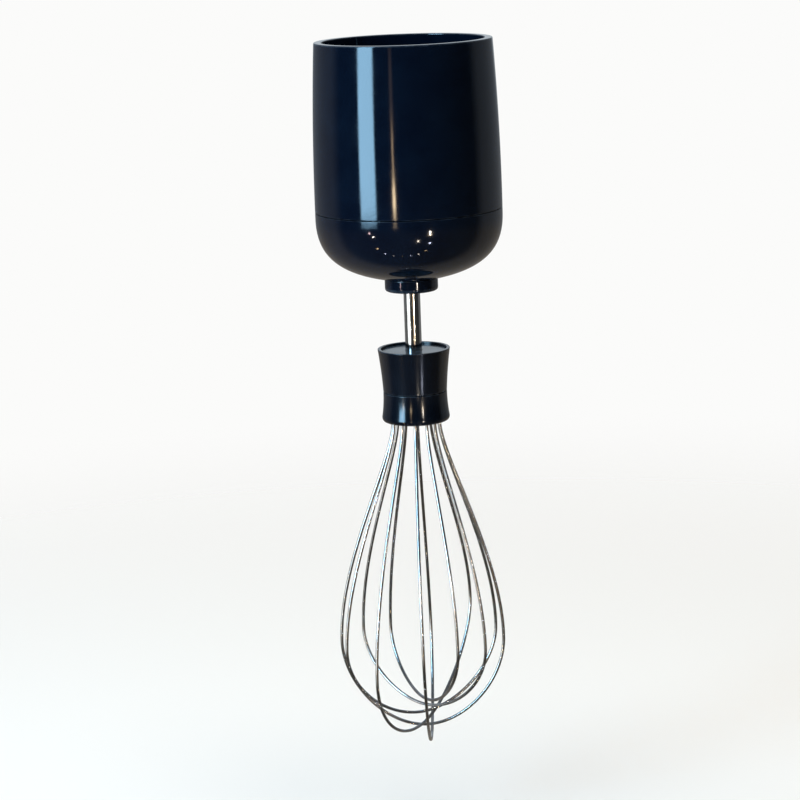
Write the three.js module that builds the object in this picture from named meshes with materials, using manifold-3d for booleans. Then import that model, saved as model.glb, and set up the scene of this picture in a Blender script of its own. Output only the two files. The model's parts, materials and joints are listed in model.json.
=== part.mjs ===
// Whisk attachment for a hand blender: a black drive cup that clips on to the motor body, a
// planetary reduction inside it, and a pull-off whisk of six nested wire loops.
// Millimetres, +Z up. The origin is the centre of the cup's rim, and everything hangs below it.
import * as THREE from "three";
import { mergeVertices } from "three/addons/utils/BufferGeometryUtils.js";
import Module from "manifold-3d";

const wasm = await Module();
wasm.setup();

// ---- Driving dimensions --------------------------------------------------------------------

// Clearances
const seatGap = 0.3; // between two fixed pieces that sit face to face
const pressGap = 0.12; // radial, between a fixed piece and its hole
const runGap = 0.15; // radial, between a turning piece and its bearing
const gearEndGap = 0.8; // above and below the gears

// Drive cup
const socketRadius = 27.9; // the bore that takes the motor body
const socketDepth = 33; // rim to the ledge that the motor body stops on
const rimWall = 2.65;
const rimRound = 0.5;
const bodyFlare = 1.8; // how much wider the cup is at its seam than at its rim
const bodyWall = 2.7; // below the ledge
const ledgeWidth = 2.6;
const ledgeThickness = 2;
const seamMargin = 4.2; // gear case to the seam

// Bayonet lugs on the socket wall
const lugCount = 2;
const lugHeight = 3;
const lugDrop = 8; // rim to the top of a lug
const lugDepth = 1.5; // how far a lug stands off the wall
const lugAngle = 26; // degrees

// Lower cap
const capHeight = 22.3; // seam to its lowest edge
const capWall = 2.4;
// Handles of its outside curve, as shares of its height and of its radius
const capSide = 0.09; // the straight side under the seam
const capShoulder = 0.63;
const capTurn = 0.74;
const capTurnRadius = 0.85;
const spigotHeight = 2.8; // the ring that centres it in the cup
const spigotWall = 1.1;
const postWall = 1.8; // the tube that holds the gear case up
const sealHeight = 3;
const sealWall = 2.6;
const sealLift = 2.2; // the shelf under the seal

// Outlet collar, under the cap
const outletSkirt = 1.1; // wall of the tube that plugs it into the cap
const outletSkirtHeight = 1.8;
const outletLip = 2.85; // how far the disc stands out past that tube
const outletHeight = 4.3;
const outletRound = 0.9;
const outletFace = 0.8;
const neckHeight = 0.5;
const neckInset = 0.6;

// Planetary gears
const sunTeeth = 9;
const planetTeeth = 18;
const planetCount = 3;
const pressureAngle = THREE.MathUtils.degToRad(25);
const addendum = 0.8; // in modules
const dedendum = 1.1; // in modules
const backlash = 0.14; // taken off each tooth at the pitch line
const gearWidth = 7.2;

// Gear case
const coverThickness = 2.7;
const coverBossHeight = 5.5;
const coverBossWall = 2.4;
const ribCount = 6;
const ribWidth = 1.6;
const ribHeight = 0.9;
const ringWall = 2.4;
const plateThickness = 2.6;
const plateHubWall = 1.8;
const caseClearance = 1.9; // screw ears to the cup's wall
const earRadius = 2.5;
const screwCount = 3;
const screwRadius = 1.1;
const screwRoof = 0.8; // cover left above a screw's end
const screwHeadRadius = 2.1;
const screwHeadHeight = 1.6;
const slotWidth = 0.5; // of the cross in a screw's head

// Input side
const inputRadius = 2;
const inputBushWall = 1.9;
const couplingHeight = 11;
const couplingRadius = 6.4; // to the tips of its lobes
const couplingLobes = 6;
const lobeShare = 0.14; // half the height from a valley to a lobe's tip, as a share of the radius
const couplingFlange = 1.6;
const couplingRoof = 2; // solid end of the coupling, above the shaft
const slingerThickness = 0.5;
const slingerLip = 1.5; // how far it reaches over the bushing

// Output side
const carrierMargin = 4.8; // planet pin's axis to the carrier's edge
const carrierThickness = 4;
const carrierWindow = 3.2;
const pinRadius = 1.5;
const pinFloor = 0.6; // carrier left under a pin
const washerThickness = 0.6;
const washerWidth = 3.4;
const sleeveWall = 2.1;
const outputBushWall = 1.5;
const chuckRoom = 12; // bushing to seal, where the clip and the chuck spring go
const clipThickness = 0.8;
const clipGroove = 0.6; // depth
const clipWidth = 2.1;
const springDrop = 4; // clip to the chuck spring
const springWire = 0.9;
const fingerWidth = 2.4; // of the spring's two fingers, which reach in to the whisk's shaft

// Whisk shaft
const shaftRadius = 2.9;
const socketRoof = 3.1; // carrier's lower face to the top of the shaft
const hexLength = 8;
const hexCut = 0.24; // the hexagon's corners are this much inside the round shaft
const grooveWidth = 1.4;
const grooveDepth = 0.45;
const shaftShow = 20.9; // bare shaft between the outlet collar and the whisk's collar

// Whisk collar
const collarSkin = 1; // wall at the waist, around the wire core
const collarTopFlare = 1.5; // how much wider than the waist the top is
const collarLowFlare = 0.7;
const upperHeight = 15;
const lowerHeight = 10.8;
const upperWall = 1.2;
const collarRound = 1.6;
const discRecess = 0.8;
const discThickness = 1.5;
const coreHeight = 8.4;
const coreMargin = 1.28; // core left outside the wire holes
const clampHeight = 3;
const keeperHeight = 1;
const keeperWidth = 2.6;
const shaftInset = 1.2; // shaft's end to the collar's lower face

// Wires
const wireRadius = 0.55;
const wireHoleGap = 0.2;
const wireCircle = 8.2; // radius of the circle of wire holes
const wireGrip = 9.6; // how far each wire end runs up inside the collar
const bellyRadius = 29.6; // of the outermost loop, to the wire's centre
const bellyStep = 0.5; // each loop in is narrower by this
const bellyDrop = 80; // collar's lower face to the widest point
const tipDrop = 116.8; // collar's lower face to the outermost loop's tip
const tipLead = 2.1; // the outermost loop hangs this much lower than an even step
const tipStep = 2.5; // each loop in is shorter by this
// Handles of a loop's curve, as shares of the belly's drop and of its radius
const neckEase = 0.16; // how far a wire keeps straight below the collar
const flankEase = 0.37; // how far it keeps upright above the belly
const footEase = 0.5; // how wide its foot is flat
// Each loop's direction in degrees, from the outermost inwards. Used wires sit a little unevenly.
const loopAzimuths = [-3, 87, -37, -73, 52, 26];

// ---- Levels and radii that follow ----------------------------------------------------------

const rimRadius = socketRadius + rimWall;
const bodyRadius = rimRadius + bodyFlare;
const bodyBore = bodyRadius - bodyWall;
const ledgeRadius = socketRadius - ledgeWidth;
const ledgeBottom = -socketDepth - ledgeThickness;

const coverTop = ledgeBottom - seatGap;
const coverBottom = coverTop - coverThickness;
const ringTop = coverBottom - seatGap;
const gearTop = coverBottom - gearEndGap;
const gearBottom = gearTop - gearWidth;
const carrierTop = gearBottom - gearEndGap;
const carrierBottom = carrierTop - carrierThickness;
const washerTop = carrierBottom - seatGap;
const washerBottom = washerTop - washerThickness;
const plateTop = washerBottom - seatGap;
const ringBottom = plateTop + seatGap;
const plateBottom = plateTop - plateThickness;

const ringTeeth = sunTeeth + 2 * planetTeeth;
const ringOuter = bodyBore - caseClearance - earRadius;
const screwCircle = ringOuter;
const gearModule = (ringOuter - ringWall) / (ringTeeth / 2 + dedendum); // the train fills the case
const planetOrbit = (gearModule * (sunTeeth + planetTeeth)) / 2;

const seamZ = plateBottom - seamMargin;
const capTop = seamZ - seatGap;
const capBottom = seamZ - capHeight;

const inputBushRadius = inputRadius + runGap + inputBushWall;
const coverBossRadius = inputBushRadius + pressGap + coverBossWall;
const coverBossTop = coverTop + coverBossHeight;
const slingerBottom = coverBossTop + seatGap;
const couplingBottom = slingerBottom + slingerThickness + seatGap;
const couplingTop = couplingBottom + couplingHeight;

const sleeveRadius = shaftRadius + runGap + sleeveWall;
const sleeveRun = sleeveRadius + runGap; // bore of everything that the sleeve turns in
const outputBushRadius = sleeveRun + outputBushWall;
const plateHubRadius = outputBushRadius + pressGap + plateHubWall;
const sealRadius = sleeveRun + sealWall;
const sealBottom = capBottom + sealLift + seatGap;
const sealTop = sealBottom + sealHeight;
const plateHubBottom = sealTop + chuckRoom;
const clipTop = plateHubBottom - seatGap;
const clipBottom = clipTop - clipThickness;
const springZ = clipBottom - springDrop;
const springGroove = sleeveRadius - springWire;

const outletSpigot = sleeveRun + outletSkirt;
const outletRadius = outletSpigot + outletLip;
const outletTop = capBottom - neckHeight;
const outletBottom = outletTop - outletHeight;
const sleeveBottom = outletBottom + outletFace + 2 * seatGap;

const shaftTop = carrierBottom - socketRoof;
const hexRadius = shaftRadius - hexCut;
const hexBottom = shaftTop - hexLength;

const collarTop = outletBottom - shaftShow;
const waistZ = collarTop - upperHeight;
const lowerTop = waistZ - seatGap;
const collarBottom = waistZ - lowerHeight;
const coreRadius = wireCircle + wireRadius + coreMargin;
const waistRadius = coreRadius + pressGap + collarSkin;
const collarTopRadius = waistRadius + collarTopFlare;
const collarLowRadius = waistRadius + collarLowFlare;
const upperInner = waistRadius - upperWall;
const discTop = collarTop - discRecess;
const discBottom = discTop - discThickness;
const discRadius = collarTopRadius - upperWall - pressGap;
const coreTop = collarBottom + coreHeight;
const clampBottom = coreTop + seatGap;
const clampTop = clampBottom + clampHeight;
const keeperBottom = clampTop + seatGap;

// ---- Materials -----------------------------------------------------------------------------

const finish = (color, roughness, metalness) =>
  new THREE.MeshStandardMaterial({ color, roughness, metalness });
const glossBlack = finish(0x0a0e16, 0.15, 0);
const satinBlack = finish(0x15181c, 0.45, 0);
const polishedSteel = finish(0xc9ccd0, 0.15, 1);
const springSteel = finish(0x8f9296, 0.35, 1);
const whiteAcetal = finish(0xe6e3d8, 0.4, 0);
const greyNylon = finish(0x5f6468, 0.5, 0);
const sinteredBronze = finish(0xa67c3f, 0.45, 1);
const sealRubber = finish(0x1b1a19, 0.8, 0);
const zincPlate = finish(0xb4b6b8, 0.3, 1);

// ---- Modelling helpers ---------------------------------------------------------------------

const reach = 1; // how far a cutting piece runs past the piece it cuts

const v2 = (x, y) => new THREE.Vector2(x, y);

const polar = (radius, angle) => v2(radius * Math.cos(angle), radius * Math.sin(angle));

// The solid that an outline of [radius, z] points sweeps about Z. The outline starts and ends on
// the axis, or it is closed here.
function turned(outline, sides = 24) {
  const points = outline.map(([r, z]) => v2(r, z));
  if (THREE.ShapeUtils.isClockWise(points)) points.reverse();
  if (points[0].x > 0) points.push(points[0].clone());
  return new THREE.LatheGeometry(points, sides).rotateX(Math.PI / 2);
}

// A tube about Z or, with no inner radius, a plain cylinder.
function tube(outer, inner, top, bottom, sides = 24) {
  return turned([[inner, top], [outer, top], [outer, bottom], [inner, bottom]], sides);
}

// A flat outline pushed up from one level to another.
function prism(points, bottom, top, hole) {
  const shape = new THREE.Shape(points);
  if (hole) shape.holes = [new THREE.Path(hole.reverse())];
  const settings = { depth: top - bottom, bevelEnabled: false };
  return new THREE.ExtrudeGeometry(shape, settings).translate(0, 0, bottom);
}

const circle = (radius, sides) =>
  Array.from({ length: sides }, (_, i) => polar(radius, (2 * Math.PI * i) / sides));

const arc = (radius, from, to, steps) =>
  Array.from({ length: steps + 1 }, (_, i) => polar(radius, from + ((to - from) * i) / steps));

function solid(geometry) {
  const bare = geometry.index ? geometry.toNonIndexed() : geometry.clone();
  bare.deleteAttribute("normal");
  bare.deleteAttribute("uv");
  const merged = mergeVertices(bare, 1e-4);
  return new wasm.Manifold(
    new wasm.Mesh({
      numProp: 3,
      vertProperties: merged.attributes.position.array,
      triVerts: new Uint32Array(merged.index.array),
    }),
  );
}

function geometryOf(manifold) {
  const { vertProperties, triVerts } = manifold.getMesh();
  return new THREE.BufferGeometry()
    .setAttribute("position", new THREE.BufferAttribute(vertProperties, 3))
    .setIndex(new THREE.BufferAttribute(triVerts, 1));
}

// Joins the pieces in `add` and takes the pieces in `cut` away.
function shaped(add, cut = []) {
  const whole = add.map(solid).reduce((a, b) => a.add(b));
  return geometryOf(cut.map(solid).reduce((a, b) => a.subtract(b), whole));
}

// What make(x, y, angle, index) gives for each of `count` places on a circle about Z.
function around(count, radius, make) {
  return Array.from({ length: count }, (_, i) => {
    const angle = (2 * Math.PI * i) / count;
    const { x, y } = polar(radius, angle);
    return make(x, y, angle, i);
  });
}

const attachment = new THREE.Group();

function place(name, geometry, material, x = 0, y = 0, turn = 0) {
  const mesh = new THREE.Mesh(geometry, material);
  mesh.name = name;
  mesh.position.set(x, y, 0);
  mesh.rotation.z = turn;
  attachment.add(mesh);
}

// ---- Gear outlines -------------------------------------------------------------------------

const involute = (angle) => Math.tan(angle) - angle;

// A spur gear's outline, with a tooth centred on `turn`. `thicken` widens each tooth at the pitch
// line, and `out` and `into` are its heights above and below that line.
function gearOutline(teeth, thicken, out, into, turn) {
  const pitch = (gearModule * teeth) / 2;
  const base = pitch * Math.cos(pressureAngle);
  const root = pitch - into;
  const start = Math.max(root, base);
  const atPitch = Math.PI / (2 * teeth) + thicken / (2 * pitch) + involute(pressureAngle);
  const half = (radius) => atPitch - involute(Math.acos(base / radius));
  const flank = [start, pitch + out].map((radius) => [radius, half(radius)]);
  if (root < base) flank.unshift([root, half(base)]);
  const falling = flank.slice().reverse();
  const tooth = [...flank.map(([radius, a]) => [radius, -a]), ...falling];
  return Array.from({ length: teeth }, (_, i) => (2 * Math.PI * i) / teeth + turn).flatMap(
    (centre) => tooth.map(([radius, a]) => polar(radius, centre + a)),
  );
}

const outerGear = (teeth, turn) =>
  gearOutline(teeth, -backlash, addendum * gearModule, dedendum * gearModule, turn);

// ---- Drive cup -----------------------------------------------------------------------------

// The cup's outer radius swells from the rim to the seam, quickly at first.
const barrel = (z) => bodyRadius - bodyFlare * (1 - z / seamZ) ** 2;

function driveHousing() {
  const steps = 4;
  const side = Array.from({ length: steps + 1 }, (_, i) => {
    const z = -rimRound + ((seamZ + rimRound) * i) / steps;
    return [barrel(z), z];
  });
  const wall = turned(
    [
      [socketRadius, 0],
      [rimRadius - rimRound, 0],
      ...side,
      [bodyBore, seamZ],
      [bodyBore, ledgeBottom],
      [ledgeRadius, ledgeBottom],
      [ledgeRadius, -socketDepth],
      [socketRadius, -socketDepth],
    ],
    36,
  );
  const half = THREE.MathUtils.degToRad(lugAngle) / 2;
  const root = socketRadius + rimWall / 2;
  const outline = [...arc(root, -half, half, 4), ...arc(socketRadius - lugDepth, half, -half, 4)];
  const lug = prism(outline, -lugDrop - lugHeight, -lugDrop);
  return shaped([wall, ...around(lugCount, 0, (x, y, angle) => lug.clone().rotateZ(angle))]);
}

// The cap's outside, or the same line moved in by a wall: a short straight side, one smooth
// shoulder, and a shallow cone down to the outlet.
function capCurve(inset, steps) {
  const curve = new THREE.CubicBezierCurve(
    v2(bodyRadius - inset, capTop - capSide * capHeight),
    v2(bodyRadius - inset, capTop - capShoulder * capHeight + 0.5 * inset),
    v2(capTurnRadius * bodyRadius - 0.6 * inset, capTop - capTurn * capHeight + inset),
    v2(outletRadius, capBottom + inset),
  );
  return curve.getPoints(steps).map(({ x, y }) => [x, y]);
}

function lowerCap() {
  const spigotOuter = bodyBore - seatGap;
  const spigotInner = spigotOuter - spigotWall;
  const outletHole = outletSpigot + pressGap;
  const shell = turned(
    [
      [bodyRadius, capTop],
      ...capCurve(0, 7),
      [outletHole, capBottom],
      [outletHole, capBottom + capWall],
      ...capCurve(capWall, 4).reverse(),
      [spigotInner, capTop],
      [spigotInner, capTop + spigotHeight],
      [spigotOuter, capTop + spigotHeight],
      [spigotOuter, capTop],
    ],
    36,
  );
  const postInner = plateHubRadius + seatGap;
  const postOuter = postInner + postWall;
  const foot = capBottom + capWall / 2;
  const post = tube(postOuter, postInner, plateBottom - seatGap, foot);
  const sealSeat = tube(postInner + postWall / 2, sealRadius + pressGap, sealTop, foot);
  return shaped([shell, post, sealSeat]);
}

function outletCollar() {
  const neckRadius = outletRadius - neckInset;
  const shaftHole = shaftRadius + 2 * runGap;
  const bevel = 0.3 * outletRound;
  return turned(
    [
      [sleeveRun, capBottom + outletSkirtHeight],
      [outletSpigot, capBottom + outletSkirtHeight],
      [outletSpigot, capBottom - seatGap],
      [neckRadius, capBottom - seatGap],
      [neckRadius, outletTop],
      [outletRadius, outletTop],
      [outletRadius, outletBottom + outletRound],
      [outletRadius - bevel, outletBottom + bevel],
      [outletRadius - outletRound, outletBottom],
      [shaftHole, outletBottom],
      [shaftHole, outletBottom + outletFace],
      [sleeveRun, outletBottom + outletFace],
    ],
    28,
  );
}

// ---- Gear case -----------------------------------------------------------------------------

const atScrews = (radius, top, bottom, sides) =>
  around(screwCount, screwCircle, (x, y) =>
    tube(radius, 0, top, bottom, sides).translate(x, y, 0),
  );

const screwHoles = (top, bottom) =>
  atScrews(screwRadius + pressGap, top + reach, bottom - reach, 8);

function gearboxCover() {
  const bore = inputBushRadius + pressGap;
  const plate = tube(bodyBore - seatGap, bore, coverTop, coverBottom, 36);
  const boss = tube(coverBossRadius, bore, coverBossTop, coverBottom);
  const ribStart = coverBossRadius - coverBossWall / 2;
  const ribLength = ledgeRadius - 2 * seatGap - ribStart;
  const ribCentre = ribStart + ribLength / 2;
  const rib = new THREE.BoxGeometry(ribLength, ribWidth, 2 * ribHeight);
  const ribs = around(ribCount, ribCentre, (x, y, angle) =>
    rib.clone().rotateZ(angle).translate(x, y, coverTop),
  );
  const holes = atScrews(screwRadius + pressGap, coverTop - screwRoof / 2, coverBottom - reach, 8);
  return shaped([plate, boss, ...ribs], holes);
}

function ringGear() {
  const spaces = gearOutline(
    ringTeeth,
    backlash,
    dedendum * gearModule,
    addendum * gearModule,
    Math.PI / ringTeeth,
  );
  return shaped(
    [tube(ringOuter, 0, ringTop, ringBottom, 36), ...atScrews(earRadius, ringTop, ringBottom, 12)],
    [prism(spaces, ringBottom - reach, ringTop + reach), ...screwHoles(ringTop, ringBottom)],
  );
}

function bearingPlate() {
  const plate = tube(ringOuter, 0, plateTop, plateBottom, 36);
  const hub = tube(plateHubRadius, 0, plateTop, plateHubBottom);
  const bore = tube(outputBushRadius + pressGap, 0, plateTop + reach, plateHubBottom - reach);
  return shaped(
    [plate, hub, ...atScrews(earRadius, plateTop, plateBottom, 12)],
    [bore, ...screwHoles(plateTop, plateBottom)],
  );
}

// A pan-head screw that comes up from below, with a cross in its head.
function caseScrew() {
  const tip = coverTop - screwRoof;
  const headTop = plateBottom - seatGap;
  const headBottom = headTop - screwHeadHeight;
  const headBevel = 0.35 * screwHeadHeight;
  const body = turned(
    [
      [0, tip],
      [screwRadius / 2, tip],
      [screwRadius, tip - screwRadius / 2],
      [screwRadius, headTop],
      [screwHeadRadius, headTop],
      [screwHeadRadius, headBottom + headBevel],
      [screwHeadRadius - headBevel, headBottom],
      [0, headBottom],
    ],
    10,
  );
  const bar = new THREE.BoxGeometry(screwHeadRadius, slotWidth, screwHeadHeight);
  const slots = [0, Math.PI / 2].map((turn) => bar.clone().rotateZ(turn));
  return shaped([body], slots.map((slot) => slot.translate(0, 0, headBottom)));
}

// ---- Input side ----------------------------------------------------------------------------

// The dog that the motor's spindle turns: six rounded lobes on a round flange.
function driveCoupling() {
  const lobeDepth = lobeShare * couplingRadius;
  const star = Array.from({ length: 8 * couplingLobes }, (_, i) => {
    const angle = (Math.PI * i) / (4 * couplingLobes);
    const swell = lobeDepth * (1 - Math.cos(couplingLobes * angle));
    return polar(couplingRadius - swell, angle);
  });
  const flangeRadius = couplingRadius + 2 * lobeDepth;
  const flange = tube(flangeRadius, 0, couplingBottom + couplingFlange, couplingBottom);
  const boreTop = couplingTop - couplingRoof;
  const bore = tube(inputRadius + pressGap, 0, boreTop, couplingBottom - reach, 16);
  return shaped([prism(star, couplingBottom, couplingTop), flange], [bore]);
}

function couplingSlinger() {
  const top = slingerBottom + slingerThickness;
  return tube(inputBushRadius + slingerLip, inputRadius + pressGap, top, slingerBottom, 20);
}

const inputBushing = () =>
  tube(inputBushRadius, inputRadius + runGap, coverBossTop - seatGap, coverBottom + seatGap, 20);

const inputShaft = () =>
  tube(inputRadius, 0, couplingTop - couplingRoof - seatGap, gearBottom + seatGap, 16);

const sunGear = () =>
  prism(outerGear(sunTeeth, 0), gearBottom, gearTop, circle(inputRadius + pressGap, 12));

// ---- Output side ---------------------------------------------------------------------------

const planetGear = () =>
  prism(
    outerGear(planetTeeth, Math.PI / planetTeeth),
    gearBottom,
    gearTop,
    circle(pinRadius + runGap, 12),
  );

const planetPin = () =>
  tube(pinRadius, 0, (gearTop + coverBottom) / 2, carrierBottom + pinFloor, 12);

// A disc that carries the planets, with a long hollow sleeve below it. The whisk's shaft plugs
// into the sleeve, and two slots let the chuck spring's fingers through its wall.
function planetCarrier() {
  const carrierRadius = planetOrbit + carrierMargin;
  const clipRadius = sleeveRadius - clipGroove;
  const outside = turned(
    [
      [0, carrierTop],
      [carrierRadius, carrierTop],
      [carrierRadius, carrierBottom],
      [sleeveRadius, carrierBottom],
      [sleeveRadius, clipTop + pressGap],
      [clipRadius, clipTop + pressGap],
      [clipRadius, clipBottom - pressGap],
      [sleeveRadius, clipBottom - pressGap],
      [sleeveRadius, springZ + springWire],
      [springGroove, springZ + springWire],
      [springGroove, springZ - springWire],
      [sleeveRadius, springZ - springWire],
      [sleeveRadius, sleeveBottom],
      [0, sleeveBottom],
    ],
    28,
  );
  const hexSocket = prism(circle(hexRadius + runGap, 6), hexBottom - reach, shaftTop + seatGap);
  const bore = tube(shaftRadius + runGap, 0, hexBottom + seatGap, sleeveBottom - reach, 20);
  const slots = new THREE.BoxGeometry(fingerWidth + 2 * seatGap, 2 * sleeveRadius, 2 * springWire);
  slots.translate(0, 0, springZ);
  const pinHole = tube(pinRadius + pressGap, 0, carrierTop + reach, carrierBottom + pinFloor / 2, 12);
  const pinHoles = around(planetCount, planetOrbit, (x, y) => pinHole.clone().translate(x, y, 0));
  const window = tube(carrierWindow, 0, carrierTop + reach, carrierBottom - reach, 16);
  const windows = around(planetCount, planetOrbit, (x, y) =>
    window.clone().translate(x, y, 0).rotateZ(Math.PI / planetCount),
  );
  return shaped([outside], [hexSocket, bore, slots, ...pinHoles, ...windows]);
}

const thrustWasher = () => tube(sleeveRun + washerWidth, sleeveRun, washerTop, washerBottom);

const outputBushing = () =>
  tube(outputBushRadius, sleeveRun, plateTop - seatGap, plateHubBottom + seatGap);

// A flat ring with a gap at +X.
function openRing(outer, inner, gapDegrees, bottom, top) {
  const from = THREE.MathUtils.degToRad(gapDegrees) / 2;
  const to = 2 * Math.PI - from;
  return prism([...arc(outer, from, to, 20), ...arc(inner, to, from, 20)], bottom, top);
}

function retainingRing() {
  const inner = sleeveRadius - clipGroove + pressGap;
  return openRing(inner + clipWidth, inner, 50, clipBottom, clipTop);
}

function chuckSpring() {
  const inner = springGroove + pressGap;
  const bottom = springZ - springWire / 2;
  const ring = openRing(inner + springWire, inner, 70, bottom, bottom + springWire);
  const tip = shaftRadius + pressGap;
  const fingerLength = inner + springWire / 2 - tip;
  const finger = new THREE.BoxGeometry(fingerWidth, fingerLength, springWire);
  finger.translate(0, tip + fingerLength / 2, springZ);
  return shaped([ring, finger, finger.clone().rotateZ(Math.PI)]);
}

function shaftSeal() {
  const lip = 0.4 * sealHeight;
  return turned([
    [sleeveRun, sealTop - lip / 2],
    [sleeveRun + lip / 2, sealTop],
    [sealRadius, sealTop],
    [sealRadius, sealBottom],
    [sleeveRun + lip / 2, sealBottom],
    [sleeveRun, sealBottom + lip],
  ]);
}

// ---- Whisk ---------------------------------------------------------------------------------

function whiskShaft() {
  const grooveTop = springZ + grooveWidth / 2;
  const grooveBottom = springZ - grooveWidth / 2;
  const end = collarBottom + shaftInset;
  const body = turned(
    [
      [0, hexBottom],
      [shaftRadius, hexBottom],
      [shaftRadius, grooveTop],
      [shaftRadius - grooveDepth, grooveTop - grooveDepth],
      [shaftRadius - grooveDepth, grooveBottom + grooveDepth],
      [shaftRadius, grooveBottom],
      [shaftRadius, end],
      [0, end],
    ],
    20,
  );
  return shaped([body, prism(circle(hexRadius, 6), hexBottom - reach, shaftTop)]);
}

function bend(from, control, to, steps) {
  const curve = new THREE.QuadraticBezierCurve(v2(...from), v2(...control), v2(...to));
  return curve.getPoints(steps).map(({ x, y }) => [x, y]);
}

function collarUpper() {
  const seat = discBottom - seatGap;
  const shoulder = discRadius - upperWall / 2; // the disc rests on this
  const waistControl = [waistRadius + 0.2 * collarTopFlare, waistZ + 0.44 * upperHeight];
  return turned(
    [
      [discRadius + pressGap, collarTop],
      ...bend([collarTopRadius, collarTop], waistControl, [waistRadius, waistZ], 4),
      [upperInner, waistZ],
      [upperInner, seat - upperWall],
      [shoulder, seat],
      [discRadius + pressGap, seat],
    ],
    28,
  );
}

const collarDisc = () => tube(discRadius, shaftRadius + pressGap, discTop, discBottom, 28);

function collarLower() {
  const inner = coreRadius + pressGap;
  const corner = collarBottom + collarRound;
  const sideControl = [waistRadius, lowerTop - 0.45 * lowerHeight];
  const footRadius = collarLowRadius - collarRound;
  const side = bend([waistRadius, lowerTop], sideControl, [collarLowRadius, corner], 3);
  const foot = bend(
    [collarLowRadius, corner],
    [collarLowRadius, collarBottom],
    [footRadius, collarBottom],
    3,
  );
  return turned([[inner, lowerTop], ...side, ...foot.slice(1), [inner, collarBottom]], 28);
}

const wireAngles = loopAzimuths
  .flatMap((azimuth) => [azimuth - 90, azimuth + 90])
  .map(THREE.MathUtils.degToRad);

// A round plate, drilled for every wire end and bored for the shaft from the top down.
function wirePlate(radius, top, bottom, shaftHoleBottom) {
  const drills = wireAngles.map((angle) => {
    const { x, y } = polar(wireCircle, angle);
    const drill = tube(wireRadius + wireHoleGap, 0, top + reach, bottom - reach, 6);
    return drill.rotateZ(angle).translate(x, y, 0);
  });
  const shaftHole = tube(shaftRadius + pressGap, 0, top + reach, shaftHoleBottom, 20);
  return shaped([tube(radius, 0, top, bottom, 28)], [...drills, shaftHole]);
}

const wireCore = () =>
  wirePlate(coreRadius, coreTop, collarBottom, collarBottom + shaftInset - seatGap);

const wireClamp = () =>
  wirePlate(upperInner - pressGap, clampTop, clampBottom, clampBottom - reach);

function shaftKeeper() {
  const outer = shaftRadius + keeperWidth;
  return tube(outer, shaftRadius + pressGap, keeperBottom + keeperHeight, keeperBottom, 20);
}

// One wire, bent into a balloon in its own plane, with both ends straight up inside the collar.
// `nest` counts inwards from the outermost loop.
function wireLoop(nest) {
  const belly = bellyRadius - bellyStep * nest;
  const bellyZ = collarBottom - bellyDrop;
  const lead = nest > 0 ? tipLead : 0;
  const tipZ = collarBottom - tipDrop + tipStep * nest + lead;
  const mouthZ = collarBottom - wireRadius;
  const half = (side) => {
    const at = (radius, z) => new THREE.Vector3(side * radius, 0, z);
    return [
      [at(wireCircle, collarBottom + wireGrip), at(wireCircle, mouthZ)],
      [
        at(wireCircle, mouthZ),
        at(wireCircle, mouthZ - neckEase * bellyDrop),
        at(belly, bellyZ + flankEase * bellyDrop),
        at(belly, bellyZ),
      ],
      [at(belly, bellyZ), at(belly, (bellyZ + tipZ) / 2), at(footEase * belly, tipZ), at(0, tipZ)],
    ];
  };
  const curve = (points) =>
    points.length === 2
      ? new THREE.LineCurve3(...points)
      : new THREE.CubicBezierCurve3(...points);
  const down = half(1).map(curve);
  const up = half(-1)
    .reverse()
    .map((points) => curve(points.reverse()));
  const path = new THREE.CurvePath();
  [...down, ...up].forEach((part) => path.add(part));
  const section = new THREE.Shape(circle(wireRadius, 6));
  return new THREE.ExtrudeGeometry(section, { steps: 42, extrudePath: path, bevelEnabled: false });
}

// ---- The assembly --------------------------------------------------------------------------

place("drive_housing", driveHousing(), glossBlack);
place("lower_cap", lowerCap(), glossBlack);
place("outlet_collar", outletCollar(), glossBlack);

place("gearbox_cover", gearboxCover(), satinBlack);
place("ring_gear", ringGear(), whiteAcetal);
place("bearing_plate", bearingPlate(), satinBlack);
const screw = caseScrew();
around(screwCount, screwCircle, (x, y, angle, i) =>
  place(`case_screw_${i + 1}`, screw, zincPlate, x, y),
);

place("drive_coupling", driveCoupling(), greyNylon);
place("coupling_slinger", couplingSlinger(), springSteel);
place("input_bushing", inputBushing(), sinteredBronze);
place("input_shaft", inputShaft(), springSteel);
place("sun_gear", sunGear(), springSteel);

const planet = planetGear();
const pin = planetPin();
around(planetCount, planetOrbit, (x, y, angle, i) => {
  place(`planet_gear_${i + 1}`, planet, whiteAcetal, x, y, angle);
  place(`planet_pin_${i + 1}`, pin, springSteel, x, y, angle);
});

place("planet_carrier", planetCarrier(), greyNylon);
place("thrust_washer", thrustWasher(), springSteel);
place("output_bushing", outputBushing(), sinteredBronze);
place("retaining_ring", retainingRing(), springSteel);
place("chuck_spring", chuckSpring(), springSteel);
place("shaft_seal", shaftSeal(), sealRubber);

place("whisk_shaft", whiskShaft(), polishedSteel);
place("collar_upper", collarUpper(), glossBlack);
place("collar_disc", collarDisc(), satinBlack);
place("collar_lower", collarLower(), glossBlack);
place("wire_core", wireCore(), glossBlack);
place("wire_clamp", wireClamp(), satinBlack);
place("shaft_keeper", shaftKeeper(), springSteel);
loopAzimuths.forEach((azimuth, nest) => {
  const turn = THREE.MathUtils.degToRad(azimuth - 90);
  place(`wire_loop_${nest + 1}`, wireLoop(nest), polishedSteel, 0, 0, turn);
});

export default attachment;
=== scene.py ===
# %% [markdown]
# # The looks of a hand blender's whisk attachment
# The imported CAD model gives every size, place and joint. This script loads it as a fixed frame,
# puts finely made pieces over the parts that show, and gives every piece the finish of its real
# material. All of it is in metres; sizes that a maker would know are written in millimetres.

# %% Frame
import json
import math

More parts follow.
